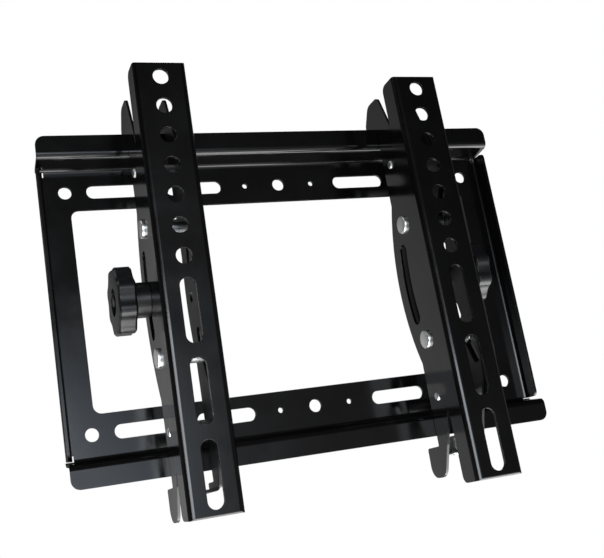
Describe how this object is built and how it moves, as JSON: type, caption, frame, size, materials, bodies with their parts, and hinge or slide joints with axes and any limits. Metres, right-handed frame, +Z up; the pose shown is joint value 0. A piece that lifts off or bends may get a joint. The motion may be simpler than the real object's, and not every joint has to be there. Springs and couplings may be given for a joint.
{
  "type": "tilting tv wall bracket",
  "caption": "Folded steel wall plate with two sliding arms that hook over its rails, tilt about a line in front of the screen and are clamped by lobed knobs",
  "frame": {"origin": "middle of the wall plate's back, on the wall", "axes": "+X to the right along the rails, +Z up, and the screen towards -Y, so +Y points into the wall"},
  "size_m": [0.278, 0.062, 0.2366],
  "materials": {
    "black_paint": "glossy black powder paint on folded steel sheet",
    "zinc": "bright zinc plating",
    "knob_plastic": "satin black moulded plastic"
  },
  "bodies": {
    "wall": {"wall_plate": "black_paint"},
    "left_hook": {"left_hook_plate_tail": "black_paint", "left_hook_plate_tab": "black_paint", "left_hook_spacers": "zinc", "left_clamp_nut": "zinc", "left_lock_nut": "zinc"},
    "left_arm": {"left_channel": "black_paint", "left_guide_bolts": "zinc", "left_guide_sleeves": "zinc", "left_guide_nuts": "zinc"},
    "left_knob": {"left_tilt_knob": "knob_plastic", "left_clamp_stud": "zinc"},
    "left_lock": {"left_lock_screw": "zinc"},
    "right_hook": {"right_hook_plate_tail": "black_paint", "right_hook_plate_tab": "black_paint", "right_hook_spacers": "zinc", "right_clamp_nut": "zinc", "right_lock_nut": "zinc"},
    "right_arm": {"right_channel": "black_paint", "right_guide_bolts": "zinc", "right_guide_sleeves": "zinc", "right_guide_nuts": "zinc"},
    "right_knob": {"right_tilt_knob": "knob_plastic", "right_clamp_stud": "zinc"},
    "right_lock": {"right_lock_screw": "zinc"}
  },
  "joints": [
    {"name": "left_rail_slide", "type": "slide", "parent": "wall", "child": "left_hook", "axis": [1, 0, 0], "range_m": [-0.02265, 0.05235]},
    {"name": "left_tilt", "type": "hinge", "parent": "left_hook", "child": "left_arm", "pos_m": [-0.07735, -0.1303, -0.006], "axis": [1, 0, 0], "range_deg": [-11.5, 6.5]},
    {"name": "left_knob_turn", "type": "hinge", "parent": "left_hook", "child": "left_knob", "pos_m": [-0.09735, -0.02534, -0.00316], "axis": [-1, 0, 0], "range_deg": [0, 360]},
    {"name": "left_lock_lift", "type": "slide", "parent": "left_hook", "child": "left_lock", "axis": [0, 0, 1], "range_m": [0, 0.0012]},
    {"name": "right_rail_slide", "type": "slide", "parent": "wall", "child": "right_hook", "axis": [1, 0, 0], "range_m": [-0.049, 0.026]},
    {"name": "right_tilt", "type": "hinge", "parent": "right_hook", "child": "right_arm", "pos_m": [0.074, -0.1303, -0.006], "axis": [1, 0, 0], "range_deg": [-8.3, 9.7]},
    {"name": "right_knob_turn", "type": "hinge", "parent": "right_hook", "child": "right_knob", "pos_m": [0.094, -0.02534, -0.00316], "axis": [1, 0, 0], "range_deg": [0, 360]},
    {"name": "right_lock_lift", "type": "slide", "parent": "right_hook", "child": "right_lock", "axis": [0, 0, 1], "range_m": [0, 0.0012]}
  ]
}
